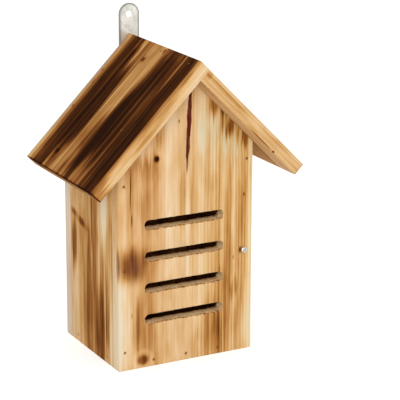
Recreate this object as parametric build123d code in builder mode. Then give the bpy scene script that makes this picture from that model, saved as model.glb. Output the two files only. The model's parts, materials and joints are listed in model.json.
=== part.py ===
from build123d import *
import math
import os

os.makedirs("parts", exist_ok=True)

# A ladybird house of seven planed fir boards, nailed together.
# X points right, Y points back and Z points up.
# The origin is on the ground, under the middle of the body.

# Boards of the body, in millimetres
board_thickness = 12.0
body_width = 132.0
body_depth = 111.0
shoulder_height = 193.5

# Roof, measured on its top faces, with its pitch in degrees
roof_pitch = 45.0
roof_slope_length = 145.0
front_overhang = 26.0

# Entrance slots in the front panel, counted down from the highest
slot_count = 4
slot_length = 77.5
slot_height = 8.5
slot_pitch = 28.7
top_slot_height = 130.8
slot_shift = -1.5

# Side door, which swings on two nails near its top
door_side_gap = 0.5
door_floor_gap = 0.5
door_roof_gap = 0.5
door_ground_gap = 1.0
pivot_drop = 15.1
pivot_clearance = 0.05
pivot_end_gap = 0.5

# Lost-head nails, driven in until the head is just below the surface
nail_length = 28.0
nail_diameter = 1.4
nail_head_diameter = 2.2
nail_head_thickness = 0.8
nail_point_length = 1.6
nail_sink = 0.4
nail_hole_clearance = 0.05

# Places of the nails
wall_nail_count = 3
wall_nail_bottom_margin = 17.0
wall_nail_top_margin = 25.5
floor_nail_count = 3
floor_nail_side_margin = 34.0
side_nail_count = 2
side_nail_end_margin = 24.5
ridge_nail_count = 3
ridge_nail_front_margin = 14.0
ridge_nail_back_margin = 28.0
roof_nail_count = 2
roof_nail_first = 42.0
roof_nail_pitch = 42.0

# Pan head screws with a cross recess
screw_diameter = 3.0
screw_head_diameter = 5.6
screw_head_height = 1.9
screw_head_round = 1.1
screw_recess_span = 3.2
screw_recess_width = 0.8
screw_recess_depth = 1.0
screw_recess_turn = 40.0  # degrees
screw_tip_chamfer = 0.5
screw_hole_clearance = 0.05

# Lock screw, backed out of the side door's front edge
lock_screw_height = 95.2
lock_screw_edge_share = 0.75
lock_screw_standoff = 1.5
lock_screw_tip_gap = 0.2
lock_pilot_depth = 8.0

# Hanger, a flat steel strip with round ends
hanger_width = 20.0
hanger_length = 80.0
hanger_thickness = 1.5
hanger_rise = 27.0
hanger_hole_diameter = 6.0
hanger_screw_length = 11.0
hanger_screw_count = 2
hanger_screw_drop = 57.5
hanger_screw_pitch = 14.0
hanger_hole_clearance = 0.15

# Cuts run past the faces that they open by this much
overrun = 1.0

# Turn that stands a lying slot outline upright, in degrees
upright_turn = 90

# Worked out from the sizes above
half_width = body_width / 2
half_depth = body_depth / 2
half_board = board_thickness / 2
slope_cos = math.cos(math.radians(roof_pitch))
slope_sin = math.sin(math.radians(roof_pitch))
slope_tan = slope_sin / slope_cos
gable_height = shoulder_height + half_width * slope_tan
ridge_height = gable_height + board_thickness / slope_cos
cavity_width = body_width - 2 * board_thickness
cavity_depth = body_depth - 2 * board_thickness
roof_depth = body_depth + front_overhang
roof_front = -half_depth - front_overhang

# Faces that nails and screws are driven into: local Z points out of the wood
front_face = Plane(origin=(0, -half_depth, 0), x_dir=(1, 0, 0), z_dir=(0, -1, 0))
back_face = Plane(origin=(0, half_depth, 0), x_dir=(-1, 0, 0), z_dir=(0, 1, 0))
left_face = Plane(origin=(-half_width, 0, 0), x_dir=(0, -1, 0), z_dir=(-1, 0, 0))
left_slope = Plane(
    origin=(0, 0, ridge_height), x_dir=(-slope_cos, 0, -slope_sin), z_dir=(-slope_sin, 0, slope_cos)
)
right_slope = Plane(
    origin=(0, 0, ridge_height), x_dir=(slope_cos, 0, -slope_sin), z_dir=(slope_sin, 0, slope_cos)
)


def on_face(face, points):
    # Places of points given in a face's own directions
    return [face.location * Location((across, along, 0)) for across, along in points]


def spread(first, pitch, count):
    # Evenly spaced places along a line
    return [first + pitch * step for step in range(count)]


def spread_between(first, last, count):
    # Evenly spaced places with one at each end
    return spread(first, (last - first) / (count - 1), count)


def roof_height(across):
    # Height of the roof's underside at a distance from the ridge
    return gable_height - abs(across) * slope_tan


# Places of the nails on the faces that they enter
wall_nail_heights = spread_between(
    wall_nail_bottom_margin, shoulder_height - wall_nail_top_margin, wall_nail_count
)
floor_nail_places = spread_between(
    floor_nail_side_margin - half_width, half_width - floor_nail_side_margin, floor_nail_count
)
side_nail_places = spread_between(
    side_nail_end_margin - half_depth, half_depth - side_nail_end_margin, side_nail_count
)
ridge_nail_places = spread_between(
    roof_front + ridge_nail_front_margin, half_depth - ridge_nail_back_margin, ridge_nail_count
)
roof_nail_drops = spread(roof_nail_first, roof_nail_pitch, roof_nail_count)
panel_middles = [half_depth - half_board, half_board - half_depth]

left_wall_middle = half_board - half_width
door_middle = half_width - half_board
pivot_height = shoulder_height - pivot_drop

front_wall_nail_spots = on_face(front_face, [(left_wall_middle, height) for height in wall_nail_heights])
back_wall_nail_spots = on_face(back_face, [(-left_wall_middle, height) for height in wall_nail_heights])
front_floor_nail_spots = on_face(front_face, [(place, half_board) for place in floor_nail_places])
back_floor_nail_spots = on_face(back_face, [(place, half_board) for place in floor_nail_places])
side_floor_nail_spots = on_face(left_face, [(place, half_board) for place in side_nail_places])
ridge_nail_spots = on_face(left_slope, [(half_board, -place) for place in ridge_nail_places])
roof_nail_points = [(drop, middle) for drop in roof_nail_drops for middle in panel_middles]
left_roof_nail_spots = on_face(left_slope, roof_nail_points)
right_roof_nail_spots = on_face(right_slope, roof_nail_points)
front_pivot_spots = on_face(front_face, [(door_middle, pivot_height)])
back_pivot_spots = on_face(back_face, [(-door_middle, pivot_height)])

# Places of the screws
lock_screw_across = half_width - board_thickness * lock_screw_edge_share
lock_screw_length = board_thickness + door_side_gap + lock_screw_standoff - lock_screw_tip_gap
lock_screw_spots = on_face(front_face, [(lock_screw_across, lock_screw_height)])
hanger_top = ridge_height + hanger_rise
hanger_screw_heights = spread(hanger_top - hanger_screw_drop, -hanger_screw_pitch, hanger_screw_count)
hanger_screw_spots = on_face(back_face, [(0, height) for height in hanger_screw_heights])


def driven_nail(clearance, mouth):
    # A nail's round form below a surface; a hole's form has a clearance and an open mouth
    shank = nail_diameter / 2 + clearance
    head = nail_head_diameter / 2 + clearance
    neck = -nail_sink - nail_head_thickness - clearance
    end = -nail_sink - nail_length - clearance
    with BuildPart() as form:
        with BuildSketch(Plane.XZ):
            with BuildLine():
                Polyline(
                    (0, mouth),
                    (head, mouth),
                    (head, neck),
                    (shank, neck),
                    (shank, end + nail_point_length),
                    (0, end),
                    close=True,
                )
            make_face()
        revolve(axis=Axis.Z)
    return form.part


def pan_head_screw(length):
    # A screw with its head's underside at zero and its shank pointing down
    with BuildPart() as form:
        Cylinder(screw_diameter / 2, length, align=(Align.CENTER, Align.CENTER, Align.MAX))
        chamfer(form.edges().group_by(Axis.Z)[0], screw_tip_chamfer)
        Cylinder(screw_head_diameter / 2, screw_head_height, align=(Align.CENTER, Align.CENTER, Align.MIN))
        fillet(form.edges().group_by(Axis.Z)[-1], screw_head_round)
        with BuildSketch(Plane.XY.offset(screw_head_height)):
            with Locations(Rotation(0, 0, screw_recess_turn)):
                Rectangle(screw_recess_span, screw_recess_width)
                Rectangle(screw_recess_width, screw_recess_span)
        extrude(amount=-screw_recess_depth, mode=Mode.SUBTRACT)
    return form.part


nail_form = driven_nail(0, -nail_sink)
nail_hole_form = driven_nail(nail_hole_clearance, overrun)
pivot_hole_radius = nail_diameter / 2 + pivot_clearance
pivot_hole_depth = nail_sink + nail_length + pivot_end_gap


# Front panel: full width, with its peak under the ridge, slotted and nailed over the side wall
with BuildPart() as front_panel:
    with BuildSketch(front_face):
        with BuildLine():
            Polyline(
                (-half_width, 0),
                (half_width, 0),
                (half_width, shoulder_height),
                (0, gable_height),
                (-half_width, shoulder_height),
                close=True,
            )
        make_face()
        with Locations([(slot_shift, height) for height in spread(top_slot_height, -slot_pitch, slot_count)]):
            SlotOverall(slot_length, slot_height, mode=Mode.SUBTRACT)
    extrude(amount=-board_thickness)
    with Locations(
        front_wall_nail_spots
        + front_floor_nail_spots
        + front_pivot_spots
        + left_roof_nail_spots
        + right_roof_nail_spots
    ):
        add(nail_hole_form, mode=Mode.SUBTRACT)
    with Locations(lock_screw_spots):
        Cylinder(
            screw_diameter / 2 + screw_hole_clearance,
            2 * (board_thickness + overrun),
            mode=Mode.SUBTRACT,
        )
front_panel.part.label = "front_panel"
export_step(front_panel.part, "parts/front_panel.step")


# Back panel: the front panel's outline without the slots, with pilot holes for the hanger
with BuildPart() as back_panel:
    with BuildSketch(back_face):
        with BuildLine():
            Polyline(
                (-half_width, 0),
                (half_width, 0),
                (half_width, shoulder_height),
                (0, gable_height),
                (-half_width, shoulder_height),
                close=True,
            )
        make_face()
    extrude(amount=-board_thickness)
    with Locations(
        back_wall_nail_spots
        + back_floor_nail_spots
        + back_pivot_spots
        + left_roof_nail_spots
        + right_roof_nail_spots
    ):
        add(nail_hole_form, mode=Mode.SUBTRACT)
    with Locations(hanger_screw_spots):
        Cylinder(
            screw_diameter / 2 + screw_hole_clearance,
            2 * (hanger_screw_length - hanger_thickness + screw_hole_clearance),
            mode=Mode.SUBTRACT,
        )
back_panel.part.label = "back_panel"
export_step(back_panel.part, "parts/back_panel.step")


# Left wall: fixed between the panels, with its top edge bevelled to the roof
with BuildPart() as left_wall:
    with BuildSketch(Plane.XZ):
        with BuildLine():
            Polyline(
                (-half_width, 0),
                (board_thickness - half_width, 0),
                (board_thickness - half_width, roof_height(half_width - board_thickness)),
                (-half_width, shoulder_height),
                close=True,
            )
        make_face()
    extrude(amount=cavity_depth / 2, both=True)
    with Locations(front_wall_nail_spots + back_wall_nail_spots + side_floor_nail_spots):
        add(nail_hole_form, mode=Mode.SUBTRACT)
left_wall.part.label = "left_wall"
export_step(left_wall.part, "parts/left_wall.step")


# Side door: the right wall, which swings out on the two pivot nails
door_inner = half_width - board_thickness
with BuildPart() as side_door:
    with BuildSketch(Plane.XZ):
        with BuildLine():
            Polyline(
                (door_inner, door_ground_gap),
                (half_width, door_ground_gap),
                (half_width, shoulder_height - door_roof_gap),
                (door_inner, roof_height(door_inner) - door_roof_gap),
                close=True,
            )
        make_face()
    extrude(amount=cavity_depth / 2 - door_side_gap, both=True)
    with Locations(front_pivot_spots + back_pivot_spots):
        Cylinder(pivot_hole_radius, 2 * pivot_hole_depth, mode=Mode.SUBTRACT)
    with Locations(lock_screw_spots):
        Cylinder(
            screw_diameter / 2 + screw_hole_clearance,
            2 * (board_thickness + door_side_gap + lock_pilot_depth),
            mode=Mode.SUBTRACT,
        )
side_door.part.label = "side_door"
export_step(side_door.part, "parts/side_door.step")


# Floor board: inside the walls, with a gap to the door that it stops
with BuildPart() as floor_board:
    with BuildSketch(Plane.XY):
        with Locations((-door_floor_gap / 2, 0)):
            Rectangle(cavity_width - door_floor_gap, cavity_depth)
    extrude(amount=board_thickness)
    with Locations(front_floor_nail_spots + back_floor_nail_spots + side_floor_nail_spots):
        add(nail_hole_form, mode=Mode.SUBTRACT)
floor_board.part.label = "floor_board"
export_step(floor_board.part, "parts/floor_board.step")


# Left roof board: its square top end laps over the right board
with BuildPart() as roof_board_left:
    with BuildSketch(left_slope):
        with Locations((roof_slope_length / 2, -(roof_front + half_depth) / 2)):
            Rectangle(roof_slope_length, roof_depth)
    extrude(amount=-board_thickness)
    with Locations(ridge_nail_spots + left_roof_nail_spots):
        add(nail_hole_form, mode=Mode.SUBTRACT)
roof_board_left.part.label = "roof_board_left"
export_step(roof_board_left.part, "parts/roof_board_left.step")


# Right roof board: its top end butts against the underside of the left board
lap_length = board_thickness / math.sin(math.radians(2 * roof_pitch))
with BuildPart() as roof_board_right:
    with BuildSketch(Plane.XZ.offset(-half_depth)):
        with BuildLine():
            Polyline(
                (0, gable_height),
                (lap_length * slope_cos, ridge_height - lap_length * slope_sin),
                (roof_slope_length * slope_cos, ridge_height - roof_slope_length * slope_sin),
                (
                    roof_slope_length * slope_cos - board_thickness * slope_sin,
                    ridge_height - roof_slope_length * slope_sin - board_thickness * slope_cos,
                ),
                close=True,
            )
        make_face()
    extrude(amount=roof_depth)
    with Locations(ridge_nail_spots + right_roof_nail_spots):
        add(nail_hole_form, mode=Mode.SUBTRACT)
roof_board_right.part.label = "roof_board_right"
export_step(roof_board_right.part, "parts/roof_board_right.step")


# Hanger plate: screwed flat on the back panel, with its hole above the ridge
with BuildPart() as hanger_plate:
    with BuildSketch(back_face):
        with Locations((0, hanger_top - hanger_length / 2)):
            SlotOverall(hanger_length, hanger_width, rotation=upright_turn)
        with Locations((0, hanger_top - hanger_width / 2)):
            Circle(hanger_hole_diameter / 2, mode=Mode.SUBTRACT)
        with Locations([(0, height) for height in hanger_screw_heights]):
            Circle(screw_diameter / 2 + hanger_hole_clearance, mode=Mode.SUBTRACT)
    extrude(amount=hanger_thickness)
hanger_plate.part.label = "hanger_plate"
export_step(hanger_plate.part, "parts/hanger_plate.step")


# Hanger screws: their heads lie on the plate
hanger_screw_form = pan_head_screw(hanger_screw_length)
hanger_outer_face = back_face.offset(hanger_thickness)
with BuildPart() as hanger_screws:
    with Locations(on_face(hanger_outer_face, [(0, height) for height in hanger_screw_heights])):
        add(hanger_screw_form)
hanger_screws.part.label = "hanger_screws"
export_step(hanger_screws.part, "parts/hanger_screws.step")


# Lock screw: backed out far enough for the door to swing
lock_screw_form = pan_head_screw(lock_screw_length)
lock_screw_face = front_face.offset(lock_screw_standoff)
with BuildPart() as lock_screw:
    with Locations(on_face(lock_screw_face, [(lock_screw_across, lock_screw_height)])):
        add(lock_screw_form)
lock_screw.part.label = "lock_screw"
export_step(lock_screw.part, "parts/lock_screw.step")


# Nails: one group for each joint that they hold, and the door's two pivots apart
nail_groups = {
    "front_wall_nails": front_wall_nail_spots,
    "back_wall_nails": back_wall_nail_spots,
    "front_floor_nails": front_floor_nail_spots,
    "back_floor_nails": back_floor_nail_spots,
    "side_floor_nails": side_floor_nail_spots,
    "ridge_nails": ridge_nail_spots,
    "roof_left_nails": left_roof_nail_spots,
    "roof_right_nails": right_roof_nail_spots,
    "pivot_nail_front": front_pivot_spots,
    "pivot_nail_back": back_pivot_spots,
}
for group_name, spots in nail_groups.items():
    with BuildPart() as nails:
        with Locations(spots):
            add(nail_form)
    nails.part.label = group_name
    export_step(nails.part, "parts/" + group_name + ".step")
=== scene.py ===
import json
import math
import random
from functools import partial

import bmesh
import bpy
from mathutils import Matrix, Vector, noise


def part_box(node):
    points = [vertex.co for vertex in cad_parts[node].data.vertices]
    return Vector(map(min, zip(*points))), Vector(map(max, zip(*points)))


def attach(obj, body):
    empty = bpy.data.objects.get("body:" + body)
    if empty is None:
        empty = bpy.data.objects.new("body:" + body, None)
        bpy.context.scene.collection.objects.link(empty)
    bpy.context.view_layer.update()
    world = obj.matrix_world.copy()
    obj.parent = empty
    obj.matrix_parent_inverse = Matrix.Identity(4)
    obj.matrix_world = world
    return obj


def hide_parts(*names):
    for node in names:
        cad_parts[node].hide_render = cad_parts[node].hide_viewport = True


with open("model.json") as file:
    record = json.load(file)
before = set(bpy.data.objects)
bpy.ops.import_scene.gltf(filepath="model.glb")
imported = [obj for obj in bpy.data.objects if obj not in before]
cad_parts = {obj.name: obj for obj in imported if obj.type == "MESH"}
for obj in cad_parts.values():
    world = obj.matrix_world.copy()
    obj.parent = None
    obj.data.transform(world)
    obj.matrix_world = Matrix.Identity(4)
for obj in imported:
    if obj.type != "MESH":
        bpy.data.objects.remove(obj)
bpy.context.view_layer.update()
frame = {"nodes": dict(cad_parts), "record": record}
mm = 0.001
print("frame loaded:", len(frame["nodes"]), "nodes")


# Stage: camera, lights and floor

cameraLook = {
    "azimuth": -28.2315,      # degrees, negative is to the left of the front
    "elevation": 16.536,
    "roll": 0.2749,
    "distance": 1583.7 * mm,
    "target": Vector((43.33, 0, 127.9)) * mm,
    "focalPixels": 1741.3,
    "imageWidth": 400,
    "sensorWidth": 36.0,
}

lightLook = {
    "skyStrength": 0.80,      # even light from all round, as in a white tent
    "aim": Vector((0, 0, 0.14)),
    "lamps": [("keyLight", 42.0, 1.6, (-1.5, -2.6, 1.25)), ("fillLight", 5.0, 1.4, (2.2, -1.6, 0.9))],
}

floorLook = {"halfSide": 9.0, "colour": "#e9e8e6", "glow": 0.45}


def hexColour(code):
    # sRGB hex to linear light
    parts = [int(code[i:i + 2], 16) / 255 for i in (1, 3, 5)]
    return [c / 12.92 if c <= 0.04045 else ((c + 0.055) / 1.055) ** 2.4 for c in parts] + [1.0]


def addNode(tree, kind, inputs=None, stops=None, **settings):
    # one node, its settings, and what goes into it: a value, an output, or a node for its first output
    node = tree.nodes.new("ShaderNode" + kind)
    for name, value in settings.items():
        setattr(node, name, value)
    for name, value in (inputs or {}).items():
        if isinstance(value, bpy.types.Node):
            value = value.outputs[0]
        if isinstance(value, bpy.types.NodeSocket):
            tree.links.new(value, node.inputs[name])
        else:
            node.inputs[name].default_value = value
    if stops:
        ramp = node.color_ramp
        while len(ramp.elements) < len(stops):
            ramp.elements.new(0.5)
        for element, (place, code) in zip(ramp.elements, stops):
            element.position = place
            element.color = hexColour(code)
    return node


def emptyTree(owner):
    # clears a material or a world, and gives back what adds nodes to it
    owner.use_nodes = True
    owner.node_tree.nodes.clear()
    return partial(addNode, owner.node_tree)


def newMaterial(name):
    material = bpy.data.materials.new(name)
    return material, emptyTree(material)


def putInScene(name, data):
    thing = bpy.data.objects.new(name, data)
    bpy.context.scene.collection.objects.link(thing)
    return thing


def addCamera(look):
    turns = [("Z", look["azimuth"]), ("X", 90 - look["elevation"]), ("Z", look["roll"])]
    place = Matrix.Translation(look["target"])
    for axis, degrees in turns:
        place @= Matrix.Rotation(math.radians(degrees), 4, axis)
    data = bpy.data.cameras.new("camera")
    data.sensor_width = look["sensorWidth"]
    data.lens = look["focalPixels"] / look["imageWidth"] * look["sensorWidth"]
    data.clip_start, data.clip_end = 0.1, 60
    camera = putInScene("camera", data)
    camera.matrix_world = place @ Matrix.Translation((0, 0, look["distance"]))
    bpy.context.scene.camera = camera


def addLamps(look):
    # soft round lamps: name, watts, width and place
    for name, energy, size, place in look["lamps"]:
        data = bpy.data.lights.new(name, "AREA")
        data.energy, data.size, data.shape = energy, size, "DISK"
        turn = (Vector(place) - look["aim"]).to_track_quat("Z", "Y").to_matrix().to_4x4()
        putInScene(name, data).matrix_world = Matrix.Translation(place) @ turn


def cleanRays(add):
    # 1 for the camera and for what metal mirrors, 0 for the light that falls on things
    rays = add("LightPath").outputs
    seen = add("Math", {0: rays["Is Camera Ray"], 1: rays["Is Glossy Ray"]}, operation="MAXIMUM")
    return add("Math", {0: seen, 1: rays["Is Transmission Ray"]}, operation="MAXIMUM")


def addWhiteSky(look):
    world = bpy.data.worlds.new("whiteTent")
    bpy.context.scene.world = world
    add = emptyTree(world)
    light = add("Background", {"Color": (1, 1, 1, 1), "Strength": look["skyStrength"]})
    seen = add("Background", {"Color": (1, 1, 1, 1), "Strength": 1.0})
    add("OutputWorld", {"Surface": add("MixShader", {0: cleanRays(add), 1: light, 2: seen})})


def paintFloor(look):
    # White paper sweep: a faint glow to the camera alone keeps it white round the soft shadow
    material, add = newMaterial("whitePaperSweep")
    paper = add("BsdfDiffuse", {"Color": hexColour(look["colour"])})
    strength = add("Math", {0: cleanRays(add), 1: look["glow"]}, operation="MULTIPLY")
    glow = add("Emission", {"Strength": strength})
    add("OutputMaterial", {"Surface": add("AddShader", {0: paper, 1: glow})})
    return material


def addFloor(look):
    bm = bmesh.new()
    bmesh.ops.create_grid(bm, x_segments=1, y_segments=1, size=look["halfSide"])
    mesh = bpy.data.meshes.new("floor")
    bm.to_mesh(mesh)
    bm.free()
    mesh.materials.append(paintFloor(look))
    floor = putInScene("floor", mesh)


bpy.context.scene.view_settings.view_transform = "Standard"
addCamera(cameraLook)
addWhiteSky(lightLook)
addLamps(lightLook)
addFloor(floorLook)
print("stage set")


# Sizes that the boards share, read from the frame, in millimetres

def boxOf(node):
    low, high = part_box(node)
    return low / mm, high / mm


panelLow, panelHigh = boxOf("front_panel")
backLow, backHigh = boxOf("back_panel")
wallLow, wallHigh = boxOf("left_wall")
doorLow, doorHigh = boxOf("side_door")
floorLow, floorHigh = boxOf("floor_board")
roofLow, roofHigh = boxOf("roof_board_left")

thickness = panelHigh.y - panelLow.y
roofPitch = math.radians(45)
slope = math.cos(roofPitch)
slopeLength = -roofLow.x / slope
roofWidth = roofHigh.y - roofLow.y
ridge = Vector((0, 0, roofHigh.z))
shoulder = panelHigh.z - panelHigh.x * math.tan(roofPitch)


# Scorched fir

firLook = {
    # streaks: their width and length in mm, and the heat of some
    "bends": (26, 150),       # the grain drifts sideways
    "wander": 5.0,            # and so far, mm
    "fibres": (0.9, 70.0, 0.26),      # a few fibres together: finer ones don't show
    "calmGrain": 0.45,        # how strongly they show where the saw ran along the rings
    "bands": (8.0, 300.0, 0.36),
    "toast": (11.0, 46.0, 0.30),      # soft blotches where the flame passed slower
    "hairlines": [(0.9, 150.0, 0.6, 0.14), (0.7, 7.0, 0.64, 0.10)],   # width, length, share left out, heat
    "fingers": (2.2, 200.0),  # the flame licks along single bundles of grain
    "fingerShift": (3.0, 0, 34.0),
    "licks": (2.6, 160),      # along them it is now weaker, now stronger
    "lickStrength": (0.72, 1.28),
    "softness": 0.6,          # of a mark's rim, where the mark itself has none
    "lipReach": (3.6, 1.8),   # how deep the slots' lower lips are scorched, mm: to nothing, and in full
    "lipHeat": 0.24,
    # painted shade on the slots' lower walls: from nothing to full between these depths, mm, and its heat
    "sootReach": (7.8, 12.0),
    "sootHeat": 0.5,
    "sawnShare": 0.8,
    "sawnStops": [(0.3, "#a0743f"), (0.62, "#f8dfb2")],
    "yellow": "#f7e9c0",
    "yellowing": (14, 300),
    "ragged": (1.6, 9),       # the edge of a stain
    "raggedShift": (2.2, 0, 5),
    "ringSharpness": 3.5,
    "ringMean": 0.22,
    "edgeSawn": (20.0, 70.0),         # mm aside of the pith: rings begin to stand on edge, and do so wholly
    "roughness": (0.66, 0.82),        # bare and charred
    "bumpHeight": 0.16 * mm,
}

# From bare sapwood to char, as the flame darkens it; painted shade and painted light are drawn with it too
heatColours = [
    (0.00, "#e2d9c6"), (0.12, "#e6d3b4"), (0.25, "#debb8e"), (0.37, "#cb9f67"), (0.49, "#ad7941"),
    (0.61, "#885327"), (0.73, "#5f3413"), (0.86, "#40200a"), (1.00, "#281205"),
]


def scorchedFir(name, axes, look):
    # Planed fir, scorched with a flame and brushed. Dry open grain: no shine, long streaks along the grain,
    # dark where the flame lingered, with ragged ends that follow the fibres.
    # Shade is painted into it too: on the slots' lower walls, on the inner face and in a few marks
    fir = firLook
    material, add = newMaterial(name)
    turnBack = axes.to_3x3().transposed()
    board = add("Mapping", {
        "Vector": add("TexCoord").outputs["Object"], "Location": -(turnBack @ axes.translation),
        "Rotation": turnBack.to_euler(), "Scale": (1 / mm, 1 / mm, 1 / mm)}, vector_type="POINT")

    def streaks(width, length, seed, detail=2.0, output="Fac"):
        # noise drawn out along the grain: width and length of a streak in mm
        seed += look["seed"]
        spread = add("Mapping", {
            "Vector": board, "Location": (seed * 7.3, seed * 3.1, seed * 1.7),
            "Scale": (1 / width, 1 / width, 1 / length)})
        return add("TexNoise", {
            "Vector": spread, "Scale": 1.0, "Detail": detail, "Roughness": 0.55}).outputs[output]

    def shifted(vector, noiseColour, reach):
        # pushes coordinates about by a noise colour
        centred = add("VectorMath", {0: noiseColour, 1: (0.5, 0.5, 0.5)}, operation="SUBTRACT")
        return add("VectorMath", {0: centred, 1: reach, 2: vector}, operation="MULTIPLY_ADD")

    def summed(total, *terms):
        # adds every value times its gain
        for value, gain in terms:
            total = add("Math", {0: value, 1: gain, 2: total}, operation="MULTIPLY_ADD")
        return total

    def product(result, *factors):
        for factor in factors:
            result = add("Math", {0: result, 1: factor}, operation="MULTIPLY")
        return result

    def addOval(total, vector, place, halfSizes, heat, soft=fir["softness"], lean=0):
        # adds heat inside an oval with a soft rim
        if lean:
            oval = add("Mapping", {
                "Vector": vector, "Location": place, "Rotation": (0, math.radians(lean), 0),
                "Scale": halfSizes}, vector_type="TEXTURE")
        else:
            oval = add("VectorMath", {
                0: vector, 1: [1 / size for size in halfSizes],
                2: [-middle / size for middle, size in zip(place, halfSizes)]}, operation="MULTIPLY_ADD")
        reach = add("VectorMath", {0: oval}, operation="LENGTH").outputs["Value"]
        cover = add("MapRange", {"Value": reach, "From Min": 1 + soft, "From Max": 1 - soft},
                    interpolation_type="SMOOTHSTEP")
        return summed(total, (cover, heat))

    def addMarks(marks, vector, total):
        # a mark goes right through the board, so its inward half size is endless
        for across, along, halfWidth, halfLength, *rest in marks:
            place = (across + look.get("start", 0), 0, along)
            total = addOval(total, vector, place, (halfWidth, 1e6, halfLength), *rest)
        return total

    # the grain bends round the larger knots
    grain = shifted(board, streaks(*fir["bends"], 0, output="Color"), (fir["wander"], fir["wander"], 0))
    for across, along, radius in look.get("knots", []):
        offset = add("Mapping", {
            "Vector": board, "Location": (across, 0, along),
            "Scale": (radius * 2.2, radius * 9, radius * 4.2)}, vector_type="TEXTURE")
        reach = add("VectorMath", {0: offset}, operation="LENGTH").outputs["Value"]
        pull = add("MapRange", {"Value": reach, "From Min": 1.0, "From Max": 0.15, "To Max": -radius * 1.6},
                   interpolation_type="SMOOTHSTEP")
        grain = add("VectorMath", {0: offset, 1: add("CombineXYZ", {"X": pull}), 2: grain},
                    operation="MULTIPLY_ADD")

    # annual rings about a pith that lies outside the board
    pithAcross, pithInward = look["pith"]
    rings = add("Mapping", {
        "Vector": grain, "Location": (-pithAcross, -pithInward, 0), "Scale": (1, 1, 0.03)})
    saw = add("TexWave", {
        "Vector": rings, "Scale": math.pi / (10 * look["ringSpacing"]), "Distortion": 1.6, "Detail": 2.0,
        "Detail Scale": 0.5}, wave_type="RINGS", rings_direction="Z", wave_profile="SAW").outputs["Fac"]
    # where the saw ran along the rings they show as broad soft patches, not as lines
    aside = add("Math", {0: add("SeparateXYZ", {0: grain}).outputs["X"], 1: pithAcross}, operation="SUBTRACT")
    aside = add("Math", {0: aside}, operation="ABSOLUTE")
    near, far = fir["edgeSawn"]
    edgeSawn = add("MapRange", {"Value": aside, "From Min": near, "From Max": far, "To Min": 0.15},
                   interpolation_type="SMOOTHSTEP")
    lateWood = product(add("Math", {0: saw, 1: fir["ringSharpness"]}, operation="POWER"), edgeSawn)
    grainShow = add("MapRange", {"Value": edgeSawn, "From Min": 0.15, "To Min": fir["calmGrain"]})

    # every noise is taken about its mean, so that bareHeat is the mean of the bare wood
    fibreWidth, fibreLength, fibreHeat = fir["fibres"]
    fibres = streaks(fibreWidth, fibreLength, 1, 3.0)
    bandWidth, bandLength, bandHeat = fir["bands"]
    toastWidth, toastLength, toastHeat = fir["toast"]
    means = (bandHeat + toastHeat) / 2 + fir["ringMean"] * look["ringHeat"]
    means += boardLook["furrowMean"] * look["furrowHeat"]
    bare = summed(look["bareHeat"] - means, (streaks(bandWidth, bandLength, 2, 3.0), bandHeat),
                  (streaks(toastWidth, toastLength, 6), toastHeat), (lateWood, look["ringHeat"]),
                  (product(add("Math", {0: fibres, 1: 0.5}, operation="SUBTRACT"), grainShow), fibreHeat))
    for width, length, start, heat in fir["hairlines"]:
        hairs = add("MapRange", {
            "Value": streaks(width, length, length), "From Min": start, "From Max": start + 0.14})
        bare = summed(bare, (product(hairs, grainShow), heat))

    burnt = shifted(board, streaks(*fir["fingers"], 3, output="Color"), fir["fingerShift"])
    bare = addMarks(look.get("throughMarks", []), burnt, bare)
    for place, halfSizes, heat in look.get("endMarks", []):
        bare = addOval(bare, board, place, halfSizes, heat, 0.5)

    # the flame reached the outer face and a little past its arrises
    lick = streaks(*fir["licks"], 4, 3.0)
    weak, strong = fir["lickStrength"]
    strength = add("MapRange", {
        "Value": lick, "From Min": 0.3, "From Max": 0.7, "To Min": weak, "To Max": strong})
    flame = addMarks(look["flame"], burnt, look.get("faceHeat", 0.0))
    flame = product(addMarks(look["spots"], board, flame), strength)
    depth = add("SeparateXYZ", {0: board}).outputs["Y"]
    onFace = add("MapRange", {"Value": depth, "From Min": look.get("burnDepth", 1.4), "From Max": 0.2},
                 interpolation_type="SMOOTHSTEP")
    # painted shade on the inner face: innerFaceShade is its heat, and a negative one paints light there
    hidden = add("MapRange", {"Value": depth, "From Min": thickness - 0.7, "From Max": thickness - 0.2})

    # the slots: a scorched lip, pale sawn walls, and painted shade on the lower wall that deepens towards the
    # inside
    furrow, sawn, slotFloor = [add("Attribute", attribute_name=layer).outputs["Fac"]
                               for layer in ("furrow", "sawn", "slotFloor")]
    soot, lip = [product(add("MapRange", {"Value": depth, "From Min": start, "From Max": end}), slotFloor)
                 for start, end in (fir["sootReach"], fir["lipReach"])]
    lip = product(lip, add("MapRange", {"Value": lick, "From Min": 0.36, "From Max": 0.56}))
    # brushing opens the soft wood, so the flame bites along the furrows of the mesh
    # heat also carries the painted shade of the slots' lower walls and of the inner face
    heat = summed(bare, (flame, onFace), (hidden, look.get("innerFaceShade", 0.4)), (lip, fir["lipHeat"]),
                  (soot, fir["sootHeat"]), (furrow, look["furrowHeat"]))
    heat = add("Math", {0: heat, 1: 0.0}, operation="ADD", use_clamp=True)
    tone = add("ValToRGB", {"Fac": heat}, stops=heatColours)

    # the part sawn across the rings is yellower, the rest a little pinker
    yellow = product(edgeSawn, look.get("yellow", 1.0), streaks(*fir["yellowing"], 5))
    tone = add("Mix", {"Factor": yellow, 6: tone, 7: hexColour(fir["yellow"])},
               data_type="RGBA", blend_type="MULTIPLY").outputs[2]
    endGrain = add("ValToRGB", {"Fac": fibres}, stops=fir["sawnStops"])
    cut = product(summed(sawn, (lip, -1), (soot, -1)), fir["sawnShare"])
    tone = add("Mix", {"Factor": cut, 6: tone, 7: endGrain}, data_type="RGBA").outputs[2]
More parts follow.
